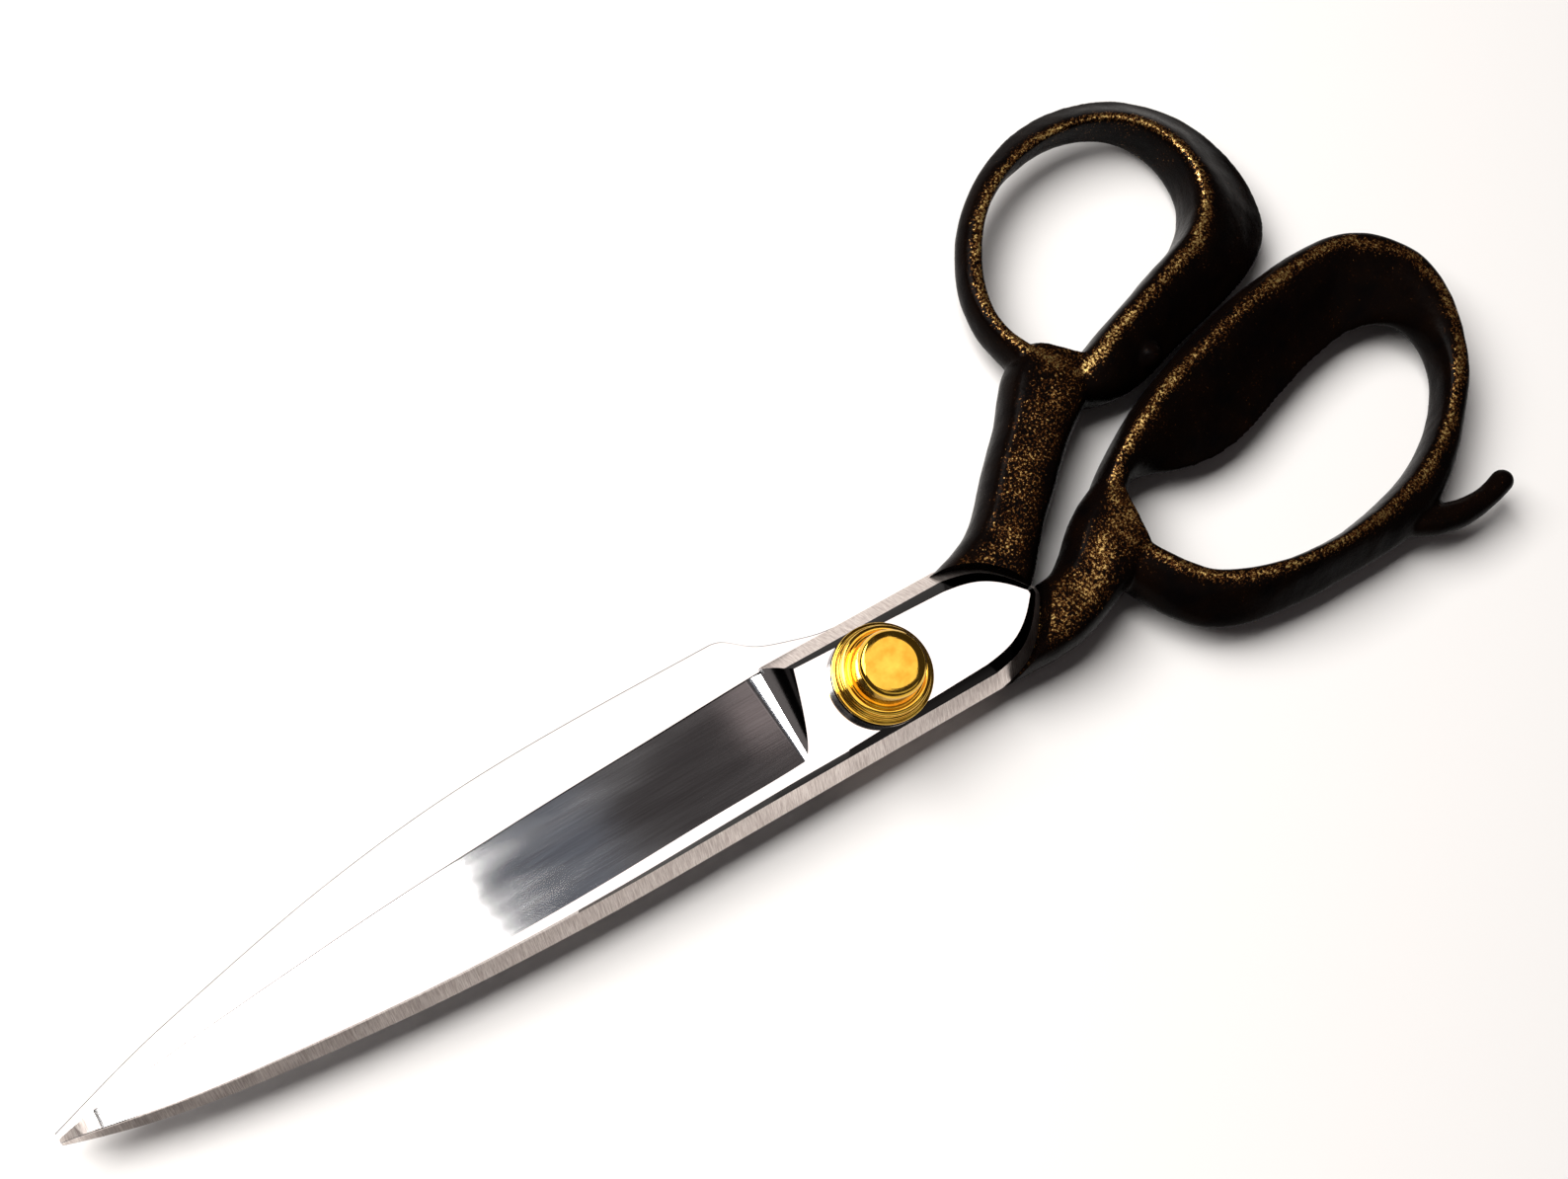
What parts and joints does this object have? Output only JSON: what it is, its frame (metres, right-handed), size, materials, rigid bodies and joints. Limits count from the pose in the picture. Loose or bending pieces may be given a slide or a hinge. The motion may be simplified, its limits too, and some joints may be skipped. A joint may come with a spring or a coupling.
{
  "type": "fabric shears",
  "caption": "Bent-handle fabric shears with polished blades, cast finger and thumb bows, a small finger rest, and a stepped brass tension nut on a keyed pivot bolt.",
  "frame": {"origin": "on the pivot axis, in the plane of the bolt head's outer face, on which the closed shears lie", "axes": "+X runs along the closed blades to the tips, +Z along the pivot axis up through the tension nut, +Y to the side of the large finger bow"},
  "size_m": [0.2526, 0.0939, 0.0202],
  "materials": {
    "blade_steel": "mirror-polished stainless steel with a cross-ground chamfer and a brushed bevel",
    "hammered_enamel": "black enamel over a cast handle with worn gold hammer speckle",
    "bolt_steel": "turned steel",
    "polished_brass": "polished, finely turned",
    "dark_steel": "blackened steel",
    "spring_steel": "plain spring steel"
  },
  "bodies": {
    "back_lever": {"back_blade": "blade_steel", "finger_handle": "hammered_enamel", "pivot_bolt": "bolt_steel", "nut_washer": "dark_steel", "spring_washer": "spring_steel"},
    "front_lever": {"front_blade": "blade_steel", "thumb_handle": "hammered_enamel"},
    "nut": {"tension_nut": "polished_brass"}
  },
  "joints": [
    {"name": "blade_pivot", "type": "hinge", "parent": "back_lever", "child": "front_lever", "pos_m": [0, 0, 0.0066], "axis": [0, 0, 1], "range_deg": [0, 60]},
    {"name": "nut_turn", "type": "hinge", "parent": "back_lever", "child": "nut", "pos_m": [0, 0, 0.0124], "axis": [0, 0, 1], "range_deg": [-20, 180]}
  ]
}
